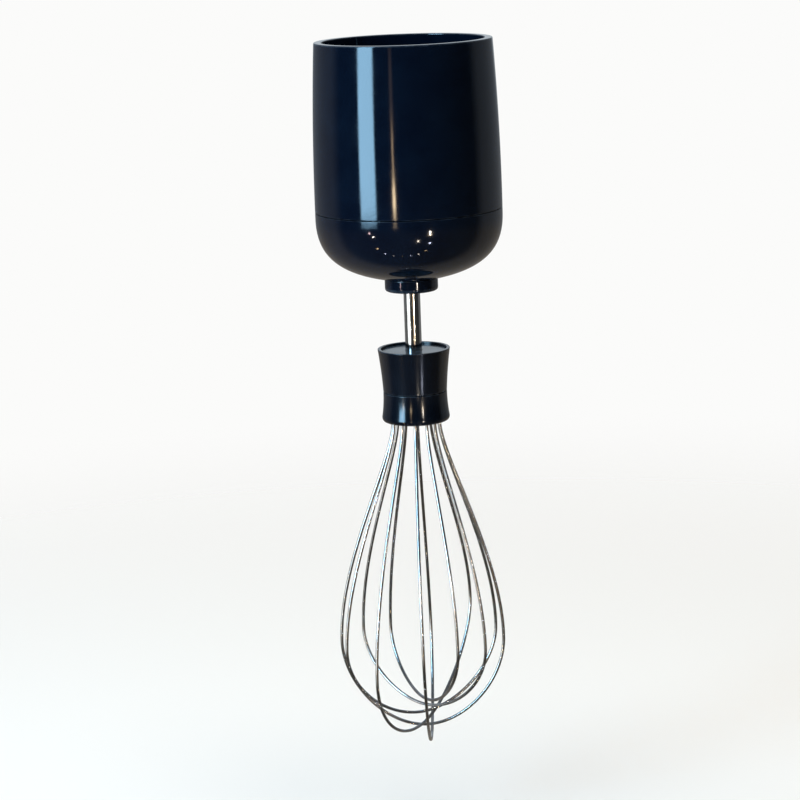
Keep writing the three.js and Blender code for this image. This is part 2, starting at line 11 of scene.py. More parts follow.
import bmesh
import bpy
from mathutils import Matrix, Vector

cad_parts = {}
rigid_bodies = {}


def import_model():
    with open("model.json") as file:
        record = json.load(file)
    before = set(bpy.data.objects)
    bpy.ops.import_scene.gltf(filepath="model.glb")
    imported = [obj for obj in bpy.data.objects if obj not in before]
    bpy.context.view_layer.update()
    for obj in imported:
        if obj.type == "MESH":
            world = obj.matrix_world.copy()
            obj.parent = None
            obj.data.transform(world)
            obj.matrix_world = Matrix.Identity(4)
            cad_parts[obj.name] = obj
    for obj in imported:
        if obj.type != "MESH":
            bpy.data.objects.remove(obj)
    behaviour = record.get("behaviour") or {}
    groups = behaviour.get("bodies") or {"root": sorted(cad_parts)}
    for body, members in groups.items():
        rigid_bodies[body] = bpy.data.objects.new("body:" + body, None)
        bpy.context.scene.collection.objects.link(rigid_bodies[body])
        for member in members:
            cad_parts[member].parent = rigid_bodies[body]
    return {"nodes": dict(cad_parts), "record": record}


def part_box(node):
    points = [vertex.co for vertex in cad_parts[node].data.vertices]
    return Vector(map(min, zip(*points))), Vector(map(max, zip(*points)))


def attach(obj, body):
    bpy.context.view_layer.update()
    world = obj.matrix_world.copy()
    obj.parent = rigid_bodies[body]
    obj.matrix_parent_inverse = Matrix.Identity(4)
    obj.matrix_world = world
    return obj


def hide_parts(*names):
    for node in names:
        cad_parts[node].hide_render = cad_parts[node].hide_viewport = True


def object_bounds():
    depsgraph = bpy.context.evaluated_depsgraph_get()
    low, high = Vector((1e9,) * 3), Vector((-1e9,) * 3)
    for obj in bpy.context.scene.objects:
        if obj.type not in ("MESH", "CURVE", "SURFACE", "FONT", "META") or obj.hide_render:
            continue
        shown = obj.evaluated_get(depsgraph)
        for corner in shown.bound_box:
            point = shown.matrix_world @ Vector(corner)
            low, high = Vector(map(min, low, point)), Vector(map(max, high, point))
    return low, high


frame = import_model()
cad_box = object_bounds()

MM = 0.001
print("size in mm:", [round(side / MM, 2) for side in cad_box[1] - cad_box[0]])

# %% [markdown]
# ## Reading the frame
# Nearly every part of the attachment is round about one upright axis, so three numbers place it:
# how far it reaches from the axis, its top and its bottom. The frame's boxes give them.

# %% Extents
def extent(node):
    """A round node's outer radius, top and bottom, in millimetres."""
    low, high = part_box(node)
    return high.x / MM, high.z / MM, low.z / MM


def reach_of(node):
    """How far a node reaches from the axis in any direction, in millimetres."""
    return max(point.co.xy.length for point in frame["nodes"][node].data.vertices) / MM


for node in ("drive_housing", "lower_cap", "outlet_collar", "whisk_shaft", "collar_upper"):
    print(node, [round(value, 2) for value in extent(node)])

# %% [markdown]
# ## Camera
# The attachment was seen from a little above, with a long lens, by a camera held not quite upright.
# A long lens from 0.9 m keeps the cup's two edges almost parallel, and the small turn to one side
# leaves room on the left without any lens shift, so every other view stays centred.

# %% Camera
CAMERA_PLACE = Vector((0, -0.89, 0.060))
CAMERA_DOWN = math.radians(11.76)
CAMERA_TURN = math.radians(0.35)
CAMERA_ROLL = math.radians(-2.1)
CAMERA_LENS = 116.8
CAMERA_SENSOR = 36

camera = bpy.data.objects.new("camera", bpy.data.cameras.new("camera"))
bpy.context.scene.collection.objects.link(camera)
camera.data.lens = CAMERA_LENS
camera.data.sensor_width = CAMERA_SENSOR
camera.data.clip_start = 0.01
camera.matrix_world = (
    Matrix.Translation(CAMERA_PLACE)
    @ Matrix.Rotation(CAMERA_TURN, 4, "Z")
    @ Matrix.Rotation(math.pi / 2 - CAMERA_DOWN, 4, "X")
    @ Matrix.Rotation(CAMERA_ROLL, 4, "Z")
)
bpy.context.scene.camera = camera
bpy.context.scene.view_settings.view_transform = "Standard"
print("camera at", [round(value, 3) for value in CAMERA_PLACE], "m")

# %% [markdown]
# ## Nodes and colours
# Two small helpers serve every material, the sky and the wire tree: one turns a designer's sRGB hex
# colour into the linear values that a shader works in, and one adds a node with its settings, its
# fixed values and its links.

# %% Node helpers
def linear(hex_colour):
    """An sRGB colour such as "c9ccd0" as linear red, green, blue and alpha."""
    channels = [int(hex_colour[i : i + 2], 16) / 255 for i in (0, 2, 4)]
    return [c / 12.92 if c <= 0.04045 else ((c + 0.055) / 1.055) ** 2.4 for c in channels] + [1]


def add(tree, kind, sockets=None, **settings):
    """Adds a node. A socket's value is either a fixed value or the output that feeds it."""
    node = tree.nodes.new(kind)
    for key, value in settings.items():
        setattr(node, key, value)
    for key, value in (sockets or {}).items():
        if isinstance(value, bpy.types.NodeSocket):
            tree.links.new(value, node.inputs[key])
        else:
            node.inputs[key].default_value = value
    return node


def blank(name):
    """A new material with an empty tree."""
    material = bpy.data.materials.new(name)
    material.use_nodes = True
    material.node_tree.nodes.clear()
    return material, material.node_tree


print("mid grey is", round(linear("808080")[0], 3))

# %% [markdown]
# ## Sky
# Black gloss plastic shows almost nothing but what it mirrors. In front of the cup the room is
# dark, so its middle stays nearly black; behind it the room is lighter, which draws the grey bands
# along both edges, and lighter again above. Below, the warm light that a table sends back fills the
# steel wires. What is mirrored and what is seen behind the object are two different backgrounds,
# picked by the kind of ray, so the page stays plain and pale however dark the room is.

# %% Sky
ROOM_FRONT = 0.022
ROOM_BACK = 0.24
ROOM_HIGH = 0.16
ROOM_LOW = 0.05

world = bpy.data.worlds.new("room")
world.use_nodes = True
sky = world.node_tree
sky.nodes.clear()
direction = add(sky, "ShaderNodeTexCoord").outputs["Generated"]
axes = add(sky, "ShaderNodeSeparateXYZ", {"Vector": direction}).outputs
behind, above, below = (
    add(
        sky,
        "ShaderNodeMapRange",
        {"Value": axes[axis], "From Min": start, "From Max": end, "To Min": least, "To Max": most},
        interpolation_type="SMOOTHSTEP",
    ).outputs["Result"]
    for axis, start, end, least, most in (
        ("Y", -0.05, 0.3, ROOM_FRONT, ROOM_BACK),
        ("Z", 0.02, 0.4, 0, ROOM_HIGH),
        ("Z", -0.05, -0.3, 0, 1),
    )
)
low_light = add(sky, "ShaderNodeMath", {0: below, 1: ROOM_LOW}, operation="MULTIPLY").outputs[0]
lightness = add(sky, "ShaderNodeMath", {0: behind, 1: above}, operation="ADD").outputs[0]
lightness = add(sky, "ShaderNodeMath", {0: lightness, 1: low_light}, operation="ADD").outputs[0]
tint = add(
    sky,
    "ShaderNodeMix",
    {"Factor": below, "A": linear("dfeaf7"), "B": linear("f7eddf")},
    data_type="RGBA",
).outputs["Result"]
room = add(sky, "ShaderNodeBackground", {"Color": tint, "Strength": lightness})
page = add(sky, "ShaderNodeBackground", {"Color": linear("fbfbfa"), "Strength": 1.0})
seen = add(sky, "ShaderNodeLightPath").outputs["Is Camera Ray"]
mixed = add(sky, "ShaderNodeMixShader", {0: seen, 1: room.outputs[0], 2: page.outputs[0]})
add(sky, "ShaderNodeOutputWorld", {"Surface": mixed.outputs[0]})
bpy.context.scene.world = world
print("sky nodes:", len(sky.nodes))

# %% [markdown]
# ## Lights
# Each light is a flat panel, placed by its bearing round the object, its height and its size. The
# tall cool panel stands for a window on the left and draws the pale-blue strip down the cup. Three
# slim warm panels beside it draw the fainter streak, faint at the top and bright at its foot; they
# stand one behind another, because of two panels in one plane a mirror shows only one. One panel
# overhead fills the socket and the floor, and one behind rims the cup. The two low panels are for
# the steel and get their own cell further down. The small lamps are only seen as sparks in the
# gloss: nine in a horseshoe under the seam, two brighter ones, and two in the outlet collar.
#
# A bare panel has a hard edge, and a window behind a curtain hasn't, so a panel may fade towards
# its edges. A light has a node tree of its own, where Parametric gives the place on the panel.

# %% Lights
SIGHT = Vector((0, 0, -0.06))  # what the small and the low lamps face
WALL = 1.3  # how far off the large panels stand
LOW = 0.6  # the two for the steel
NEAR = 0.3  # the small lamps


def fade_edges(light, soft):
    """Lets a panel's glow fade out towards its edges, as a shaded window's does."""
    light.use_nodes = True
    tree = light.node_tree
    tree.nodes.clear()
    place = add(tree, "ShaderNodeNewGeometry").outputs["Parametric"]
    spot = add(tree, "ShaderNodeSeparateXYZ", {"Vector": place}).outputs
    glow = 1.0
    for axis, share in zip("XY", soft):
        if not share:
            continue
        offset = add(tree, "ShaderNodeMath", {0: spot[axis], 1: 0.5}, operation="SUBTRACT")
        away = add(tree, "ShaderNodeMath", {0: offset.outputs[0]}, operation="ABSOLUTE").outputs[0]
        inner = add(
            tree,
            "ShaderNodeMapRange",
            {"Value": away, "From Min": 0.5, "From Max": 0.5 * (1 - share)},
            interpolation_type="SMOOTHSTEP",
        ).outputs["Result"]
        glow = add(tree, "ShaderNodeMath", {0: glow, 1: inner}, operation="MULTIPLY").outputs[0]
    shine = add(tree, "ShaderNodeEmission", {"Strength": glow})
    add(tree, "ShaderNodeOutputLight", {"Surface": shine.outputs[0]})


def panel(name, bearing, distance, height, size, radiance, colour, only_mirrored=False, soft=None):
    """A flat panel. Its bearing is in degrees from the front towards +X, its height above the rim,
    and `soft` is the share of its width and of its height that fades out at the edges."""
    turn = math.radians(bearing)
    light = bpy.data.lights.new(name, "AREA")
    light.shape = "RECTANGLE"
    light.size, light.size_y = size
    light.energy = radiance * math.pi * size[0] * size[1]
    light.color = linear(colour)[:3]
    if soft:
        fade_edges(light, soft)
    lamp = bpy.data.objects.new(name, light)
    bpy.context.scene.collection.objects.link(lamp)
    lamp.location = (distance * math.sin(turn), -distance * math.cos(turn), height)
    aim = Vector((SIGHT.x, SIGHT.y, SIGHT.z if only_mirrored else height)) - lamp.location
    lamp.rotation_euler = aim.to_track_quat("-Z", "Y").to_euler()
    lamp.visible_camera = False
    lamp.visible_diffuse = not only_mirrored
    return lamp


panel("window", -49.5, WALL, 0.332, (0.54, 1.132), 17.5, "9fd2f5", soft=(0.3, 0))
panel("slim_lamp", -17.0, WALL, -0.13, (0.06, 0.18), 5.5, "ffdcae", soft=(0.4, 0.7))
panel("slim_lamp_top", -17.0, WALL + 0.04, -0.02, (0.15, 0.3), 0.6, "ffdcc4", soft=(0.9, 0.8))
panel("slim_lamp_foot", -17.0, WALL - 0.04, -0.191, (0.1, 0.062), 42.0, "ffe2b8", soft=(0.7, 0.8))
panel("rear_window", 176, WALL, 0.3, (1.1, 1.0), 0.55, "e6f1f8", soft=(0.5, 0.5))
for_steel = [
    panel("low_glow", -56, LOW, -0.22, (0.56, 0.42), 2.6, "f2f5f4", True, (0.3, 0.5)),
    panel("low_lamp", 14, LOW, -0.22, (0.13, 0.42), 2.2, "ffdcb4", True, (0.6, 0.5)),
]

overhead = panel("overhead", 0, 0.01, WALL, (1.1, 1.1), 5.2, "fff8f0")
overhead.rotation_euler = (0, 0, 0)
overhead.visible_glossy = False  # the gloss and the steel mirror only the room

# %% Sparks
ARC_LAMPS = 9
ARC_START, ARC_STEP = 165, 24.5  # degrees round the horseshoe
ARC_MIDDLE, ARC_HALF = -10, 35  # bearing of its middle, and half its width, in degrees
ARC_LEVEL, ARC_DIP = -0.23, 0.3  # height of its ends, and how far it bows
LAMP_SIZE = 0.007
LAMP_STRENGTHS = (130, 60, 90, 40)
LAMP_COLOURS = ("fff4e6", "ffd9a0", "dfe6ff")
for number in range(ARC_LAMPS):
    angle = math.radians(ARC_START + ARC_STEP * number)
    bearing = ARC_MIDDLE + ARC_HALF * math.cos(angle)
    height = ARC_LEVEL + ARC_DIP * math.sin(angle)
    colour = LAMP_COLOURS[number % len(LAMP_COLOURS)]
    strength = LAMP_STRENGTHS[number % len(LAMP_STRENGTHS)]
    size = (LAMP_SIZE, LAMP_SIZE)
    panel(f"spark_{number + 1}", bearing, NEAR, height, size, strength, colour, True)
for name, bearing, height, size, strength, colour in (
    ("outlet_lamp_1", -48, -0.128, (LAMP_SIZE, LAMP_SIZE), 60, "ffd9dc"),
    ("outlet_lamp_2", 24, -0.128, (LAMP_SIZE, 2 * LAMP_SIZE), 120, "fff4e6"),
    ("bright_lamp_1", 10, -0.2, (0.009, 0.009), 100, "fff0dc"),
    ("bright_lamp_2", 24, -0.145, (0.01, 0.01), 130, "ffe9cc"),
):
    panel(name, bearing, NEAR, height, size, strength, colour, True)

# %% [markdown]
# ## Floor
# A plain pale table top. The part hangs from its motor body, and the whisk pulls down out of it, so
# the table lies that far under the whisk's tip. It fades out at its rim, so that it melts into the
# page behind without a horizon, and it takes the whisk's soft shadow.

# %% Floor
PULL_OUT = 30 * MM  # how far the whisk comes down
FLOOR_GAP = PULL_OUT + 2.5 * MM
FLOOR_REACH = 0.75
FADE_START, FADE_END = 0.25, 0.95  # shares of its reach

floor_mesh = bpy.data.meshes.new("floor")
shape = bmesh.new()
bmesh.ops.create_circle(shape, cap_ends=True, segments=96, radius=FLOOR_REACH)
shape.to_mesh(floor_mesh)
shape.free()
floor = bpy.data.objects.new("floor", floor_mesh)
bpy.context.scene.collection.objects.link(floor)
floor.location.z = cad_box[0].z - FLOOR_GAP
floor.visible_glossy = False

paper, tree = blank("matt_painted_board")
place = add(tree, "ShaderNodeTexCoord").outputs["Object"]
radius = add(tree, "ShaderNodeVectorMath", {0: place}, operation="LENGTH").outputs["Value"]
fade = add(
    tree,
    "ShaderNodeMapRange",
    {"Value": radius, "From Min": FADE_START * FLOOR_REACH, "From Max": FADE_END * FLOOR_REACH},
    interpolation_type="SMOOTHSTEP",
).outputs["Result"]
board = add(tree, "ShaderNodeBsdfDiffuse", {"Color": linear("f6efe6")}).outputs[0]
clear = add(tree, "ShaderNodeBsdfTransparent").outputs[0]
surface = add(tree, "ShaderNodeMixShader", {0: fade, 1: board, 2: clear}).outputs[0]
add(tree, "ShaderNodeOutputMaterial", {"Surface": surface})
floor_mesh.materials.append(paper)
print("floor at", round(floor.location.z / MM, 1), "mm")

# %% [markdown]
# ## Moulded plastic
# All the plastics share one recipe, because they share one process: molten plastic pressed against
# a steel mould. What differs is the plastic and how the mould was finished. The recipe has five
# layers: a faint cloudiness in the colour, paler worn edges, smudges and hairline scratches that
# break up the roughness, and the slight orange peel that every moulding has. The patterns read
# Object coordinates in millimetres, so each is as large as on the real thing.

# %% Shared patterns
NOISE_LOW, NOISE_HIGH = 0.35, 0.65  # where nearly all of a noise texture's values lie
SCRATCH = (9, 9, 0.24)  # the stretch of a scratch in millimetres
SCRATCH_TURNS = ((0.5, 0.3, 0.9), (-0.7, 0.4, -0.5))
SCRATCH_FROM, SCRATCH_TO = 0.74, 0.82  # only the noise's highest peaks become a scratch
WEAR_PATCH = 3.0


def millimetres(tree, stretch=(1, 1, 1), turn=(0, 0, 0)):
    """The place on the piece in millimetres, stretched and turned for a streaky pattern."""
    place = add(tree, "ShaderNodeTexCoord").outputs["Object"]
    scale = [1 / (MM * side) for side in stretch]
    turned = add(tree, "ShaderNodeMapping", {"Vector": place, "Rotation": turn})
    return add(
        tree, "ShaderNodeVectorMath", {0: turned.outputs[0], 1: scale}, operation="MULTIPLY"
    ).outputs[0]


def cloud(tree, size, low, high, detail=2.0, **coordinates):
    """A soft pattern whose patches are `size` millimetres wide, running from `low` to `high`."""
    noise = add(
        tree,
        "ShaderNodeTexNoise",
        {"Vector": millimetres(tree, **coordinates), "Scale": 1 / size, "Detail": detail},
    )
    ends = {"From Min": NOISE_LOW, "From Max": NOISE_HIGH, "To Min": low, "To Max": high}
    spread = add(tree, "ShaderNodeMapRange", {"Value": noise.outputs[0], **ends})
    return spread.outputs["Result"]


def hairlines(tree, amount):
    """Fine straight scratches in two directions, about 0.1 mm wide and some 9 mm long."""
    lines = []
    for turn in SCRATCH_TURNS:
        noise = add(
            tree,
            "ShaderNodeTexNoise",
            {"Vector": millimetres(tree, SCRATCH, turn), "Scale": 1.0, "Detail": 0.0},
        )
        ends = {"From Min": SCRATCH_FROM, "From Max": SCRATCH_TO, "To Max": amount}
        line = add(tree, "ShaderNodeMapRange", {"Value": noise.outputs[0], **ends})
        lines.append(line.outputs["Result"])
    return add(tree, "ShaderNodeMath", {0: lines[0], 1: lines[1]}, operation="MAXIMUM").outputs[0]


def worn_edges(tree):
    """The piece's own `edge` attribute, broken up so that wear comes and goes along an edge."""
    edge = add(tree, "ShaderNodeAttribute", attribute_name="edge").outputs["Fac"]
    patches = cloud(tree, WEAR_PATCH, 0.15, 1.0)
    return add(tree, "ShaderNodeMath", {0: edge, 1: patches}, operation="MULTIPLY").outputs[0]


CLOUD_SIZE, SMUDGE_SIZE = 11.0, 14.0  # millimetres across
WEAR_ROUGHNESS = 0.12
SCRATCH_ROUGHNESS = 0.04
SCRATCH_DEPTH = 0.0006  # millimetres


def moulded(name, colour, cloudy, worn, ior, rough, smudge, peel, peel_height, coat=0.0):
    """A moulded plastic: three hex colours, its IOR, its roughness, how much smudges add to that,
    and the width and height of its orange peel or mould texture in millimetres."""
    material, tree = blank(name)
    colours = add(
        tree,
        "ShaderNodeMix",
        {"Factor": cloud(tree, CLOUD_SIZE, 0.0, 1.0), "A": linear(colour), "B": linear(cloudy)},
        data_type="RGBA",
    )
    wear = worn_edges(tree)
    worn_colour = add(
        tree,
        "ShaderNodeMix",
        {"Factor": wear, "A": colours.outputs["Result"], "B": linear(worn)},
        data_type="RGBA",
    )
    rubbed = add(tree, "ShaderNodeMath", {0: wear, 1: WEAR_ROUGHNESS}, operation="MULTIPLY")
    roughness = cloud(tree, SMUDGE_SIZE, rough, rough + smudge, 4.0)
    for extra in (hairlines(tree, SCRATCH_ROUGHNESS), rubbed.outputs[0]):
        summed = add(tree, "ShaderNodeMath", {0: roughness, 1: extra}, operation="ADD")
        roughness = summed.outputs[0]
    peel_bump = add(
        tree,
        "ShaderNodeBump",
        {"Height": cloud(tree, peel, 0.0, 1.0, 1.0), "Distance": peel_height * MM, "Strength": 1.0},
    )
    bump = add(
        tree,
        "ShaderNodeBump",
        {
            "Height": hairlines(tree, 1.0),
            "Distance": SCRATCH_DEPTH * MM,
            "Strength": 1.0,
            "Normal": peel_bump.outputs[0],
        },
        invert=True,
    )
    shader = add(
        tree,
        "ShaderNodeBsdfPrincipled",
        {
            "Base Color": worn_colour.outputs["Result"],
            "Roughness": roughness,
            "IOR": ior,
            "Coat Weight": coat,
            "Normal": bump.outputs[0],
        },
    )
    add(tree, "ShaderNodeOutputMaterial", {"Surface": shader.outputs[0]})
    return material


# %% [markdown]
# ### The plastics
# The cup and its cap are navy-black ABS from a mirror-polished mould: sharp reflections, barely
# softened by handling. The whisk's collar is the same plastic from a slightly duller mould. The
# disc in its top, the gear case, the gears, the motor dog and the seal are plainer and more matt.

# %% Plastics
finishes = {
    # gloss ABS, polished mould: the eye gets crisp reflections over a blue-black depth
    "cup_plastic": moulded(
        "gloss_abs_navy_black", "050d1a", "08121f", "2a323b", 1.5, 0.05, 0.05, 2.6, 0.0016
    ),
    # gloss ABS, semi-polished mould: the same black with a softer edge to each highlight
    "collar_plastic": moulded(
        "gloss_abs_collar_black", "060c15", "0a111b", "343a42", 1.52, 0.12, 0.08, 1.9, 0.003
    ),
    # satin ABS, fine spark-eroded mould: a grey sheen at a low angle, and no clear mirror image
    "disc_plastic": moulded(
        "satin_abs_disc", "3d464d", "454e55", "636b71", 1.5, 0.13, 0.06, 0.7, 0.004
    ),
    # glass-filled nylon, eroded mould: charcoal, with the fibres just clouding the surface
    "case_plastic": moulded(
        "glass_filled_nylon_case", "1c1e21", "24272a", "4b4e50", 1.53, 0.42, 0.12, 0.5, 0.012
    ),
    # natural acetal, machined-smooth mould: milky white and waxy
    "gear_acetal": moulded(
        "natural_acetal_gear", "e3dfd2", "ece9df", "f4f2ea", 1.48, 0.32, 0.08, 1.2, 0.004
    ),
    # grey nylon, ground mould: a dull, slightly greasy grey
    "coupling_nylon": moulded(
        "grey_nylon_dog", "565b5f", "61666a", "8b9093", 1.53, 0.36, 0.12, 0.9, 0.008
    ),
    # moulded nitrile rubber: near black, matt, with a bloom that clouds it
    "seal_rubber": moulded(
        "nitrile_rubber_seal", "171615", "1f1e1d", "2c2b2a", 1.52, 0.68, 0.14, 0.6, 0.010
    ),
}
print("plastics:", len(finishes))

# %% [markdown]
# ## Metals
# A metal's colour is its mirror, so its life is in how the tool left it. Turning and polishing
# leave fine rings round a shaft, drawing leaves a fine grain on a wire, and zinc plating leaves a
# slightly mottled skin. The rings are drawn some 0.3 mm apart, coarser than the real grit, so that
# they show.

# %% Metals
RING_ROUGHNESS = 0.05
METAL_SMUDGE = 9.0  # millimetres across
METAL_SCRATCH = 0.06


def metal(name, colour, stained, rough, smudge, grain, grain_height, mottle=6.0):
    """A metal: two hex colours, its roughness and what smudges add, the stretch of its grain in
    millimetres and the grain's height."""
    material, tree = blank(name)
    colours = add(
        tree,
        "ShaderNodeMix",
        {"Factor": cloud(tree, mottle, 0.0, 1.0, 3.0), "A": linear(colour), "B": linear(stained)},
        data_type="RGBA",
    )
    rings = cloud(tree, 1.0, 0.0, 1.0, 1.0, stretch=grain)
    ringed = add(tree, "ShaderNodeMath", {0: rings, 1: RING_ROUGHNESS}, operation="MULTIPLY")
    roughness = cloud(tree, METAL_SMUDGE, rough, rough + smudge, 4.0)
    for extra in (ringed.outputs[0], hairlines(tree, METAL_SCRATCH)):
        summed = add(tree, "ShaderNodeMath", {0: roughness, 1: extra}, operation="ADD")
        roughness = summed.outputs[0]
    bump = add(
        tree,
        "ShaderNodeBump",
        {"Height": rings, "Distance": grain_height * MM, "Strength": 1.0},
    )
    shader = add(
        tree,
        "ShaderNodeBsdfPrincipled",
        {
            "Base Color": colours.outputs["Result"],
            "Metallic": 1.0,
            "Roughness": roughness,
            "Normal": bump.outputs[0],
        },
    )
    add(tree, "ShaderNodeOutputMaterial", {"Surface": shader.outputs[0]})
    return material


RINGS = (8, 8, 0.3)  # the stretch of each grain in millimetres
EVEN = (0.6, 0.6, 0.6)
finishes |= {
    # stainless steel, turned and buffed: a white mirror with faint rings
    "polished_steel": metal(
        "buffed_stainless_shaft", "c9cacb", "b9b9b8", 0.07, 0.07, RINGS, 0.0015
    ),
    # stainless wire, bright drawn: a hard glint, a touch warmer where it has been washed
    "wire_steel": metal(
        "bright_drawn_stainless_wire", "c4c5c6", "a9a6a1", 0.1, 0.1, EVEN, 0.002, 4.0
    ),
    # spring steel, ground: grey, with a plain satin grain
    "spring_steel": metal("ground_spring_steel", "9b9da0", "85878a", 0.28, 0.1, RINGS, 0.003),
    # sintered bronze, oil-filled: brown gold with tiny pores
    "bearing_bronze": metal("sintered_bronze_bush", "b08a4e", "8f6c3a", 0.38, 0.12, EVEN, 0.010),
    # zinc plate over steel: pale grey with a soft cloudy bloom
    "screw_zinc": metal("zinc_plated_screw", "b9bcc0", "a3a7ad", 0.26, 0.12, EVEN, 0.003, 1.5),
}
print("finishes:", sorted(finishes))

# %% [markdown]
# ## Turned pieces
# A lathe or a round mould makes these parts, so each is an outline swept about the axis. A real
# corner is never sharp: `rounded` eases every corner of the outline by a small radius, because the
# bright line along an edge is what tells the eye how big a part is. It also marks those points, and
# the mark becomes the `edge` attribute that the wear in the plastics follows.

# %% Turned-piece helpers
SIDES = 160
EASE = 0.18  # millimetres, where a corner names no other
EASE_LIMIT = 0.35  # the most of a side that one corner may take
FLAT_FROM = 1.3  # where the worn band ends, in eases
CORNER_STEPS = 4


def bend(start, control, end, steps):
    """Points on a smooth bend from start to end, without the start."""
    points = []
    for step in range(1, steps + 1):
        t = step / steps
        points.append(
            tuple(
                (1 - t) ** 2 * a + 2 * t * (1 - t) * b + t * t * c
                for a, b, c in zip(start, control, end)
            )
        )
    return points


def rounded(*corners):
    """Eases an outline's corners. A corner is (radius, z) or (radius, z, ease), with ease 0 for a
    point on a curve. Gives (radius, z, edge) points."""
    outline = []
    for i, corner in enumerate(corners):
        point = Vector(corner[:2])
        before = Vector(corners[i - 1][:2]) - point
        after = Vector(corners[(i + 1) % len(corners)][:2]) - point
        ease = corner[2] if len(corner) > 2 else EASE
        ease = min(ease, EASE_LIMIT * before.length, EASE_LIMIT * after.length)
        if ease < 1e-3 or point.x < 1e-6:
            outline.append((point.x, point.y, 0))
            continue
        before.normalize()
        after.normalize()
        outline.append((*(point + FLAT_FROM * ease * before), 0))
        for step in range(CORNER_STEPS + 1):
            t = step / CORNER_STEPS
            eased = point + ease * ((1 - t) ** 2 * before + t * t * after)
            outline.append((*eased, 1))
        outline.append((*(point + FLAT_FROM * ease * after), 0))
    return outline


def finished(name, mesh, body, slot, *nodes, smooth=40):
    """Puts a mesh in the scene with its finish, on its body, in place of its CAD nodes."""
    shape = bmesh.new()
    shape.from_mesh(mesh)
    bmesh.ops.remove_doubles(shape, verts=shape.verts, dist=1e-7)
    bmesh.ops.recalc_face_normals(shape, faces=shape.faces)
    shape.to_mesh(mesh)
    shape.free()
    mesh.shade_smooth()
    mesh.set_sharp_from_angle(angle=math.radians(smooth))
    mesh.materials.clear()
    mesh.materials.append(finishes[slot])
    piece = bpy.data.objects.new(name, mesh)
    bpy.context.scene.collection.objects.link(piece)
    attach(piece, body)
    if nodes:
        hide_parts(*nodes)
    print(name, len(mesh.polygons), "faces")
    return piece


def turned(name, outline, sides=SIDES, shift=None):
    """The mesh that an outline sweeps about the axis. shift(radius, z, angle) may move a point in
    or out, for what isn't the same all round."""
    points, edges, rings = [], [], []
    for radius, z, edge in outline:
        if radius < 1e-6:
            rings.append([len(points)] * sides)
            points.append((0, 0, z * MM))
            edges.append(0)
            continue
        rings.append(range(len(points), len(points) + sides))
        for side in range(sides):
            angle = 2 * math.pi * side / sides
            reach = radius + (shift(radius, z, angle) if shift else 0)
            points.append((reach * MM * math.cos(angle), reach * MM * math.sin(angle), z * MM))
            edges.append(edge)
    faces = []
    for ring, after in zip(rings, rings[1:] + rings[:1]):
        if ring[0] == ring[1] and after[0] == after[1]:
            continue
        for side in range(sides):
            beside = (side + 1) % sides
            corners = [ring[side], ring[beside], after[beside], after[side]]
            faces.append(list(dict.fromkeys(corners)))
    mesh = bpy.data.meshes.new(name)
    mesh.from_pydata(points, [], faces)
    mesh.attributes.new("edge", "FLOAT", "POINT").data.foreach_set("value", edges)
    return mesh


print("a turned ring has", SIDES, "sides")

# %% [markdown]
# ## Drive cup
# The cup is the barrel that clips on to the motor body. Its outside swells from the rim to the
# seam, quickly at first, which is why the reflections in it lean. Inside are a plain bore, two
# bayonet lugs and the ledge that the motor stops on. The lugs are part of the same mould, so they
# are made by pushing the bore's own points in, with a short ramp at each end, and not by adding
# blocks.

# %% Drive cup
CUP_FLARE = 1.8
SEAM_LIFT = 1.0  # the seam sits this much higher than on the collision solids
RIM_WALL = 2.65
CUP_WALL = 2.7
SOCKET_DEPTH = 33
LEDGE_WIDTH = 2.6
LEDGE_THICKNESS = 2
RIM_ROUND = 0.55
RIM_MARGIN, SEAM_MARGIN = 1.2, 1.0  # where the swelling side starts and stops
SEAM_EASE = 0.13
SIDE_STEPS = 28
CUP_SIDES = 240
LUG_TOP, LUG_HEIGHT, LUG_DEPTH, LUG_HALF_ANGLE = -8, 3, 1.5, math.radians(13)
LUG_RAMP, LUG_RAMP_ANGLE = 0.35, 0.03

cup_radius, rim_z, seam_z = extent("drive_housing")
seam_z += SEAM_LIFT
socket_radius = cup_radius - CUP_FLARE - RIM_WALL
cup_bore = cup_radius - CUP_WALL
ledge_bottom = rim_z - SOCKET_DEPTH - LEDGE_THICKNESS


def barrel(z):
    """The cup's outer radius at a height."""
    return cup_radius - CUP_FLARE * (1 - z / seam_z) ** 2


def step_between(value, low, high):
    """0 below low, 1 above high, and a smooth ramp between."""
    t = min(max((value - low) / (high - low), 0), 1)
    return t * t * (3 - 2 * t)


def lug(radius, z, angle):
    """How far a lug pushes the bore in at this place."""
    if abs(radius - socket_radius) > 1e-3:
        return 0
    away = abs(math.remainder(angle, math.pi))
    foot, half = LUG_TOP - LUG_HEIGHT, LUG_RAMP / 2
    tall = step_between(z, foot - half, foot + half)
    tall *= 1 - step_between(z, LUG_TOP - half, LUG_TOP + half)
    ends = (LUG_HALF_ANGLE - LUG_RAMP_ANGLE, LUG_HALF_ANGLE + LUG_RAMP_ANGLE)
    return -LUG_DEPTH * tall * (1 - step_between(away, *ends))


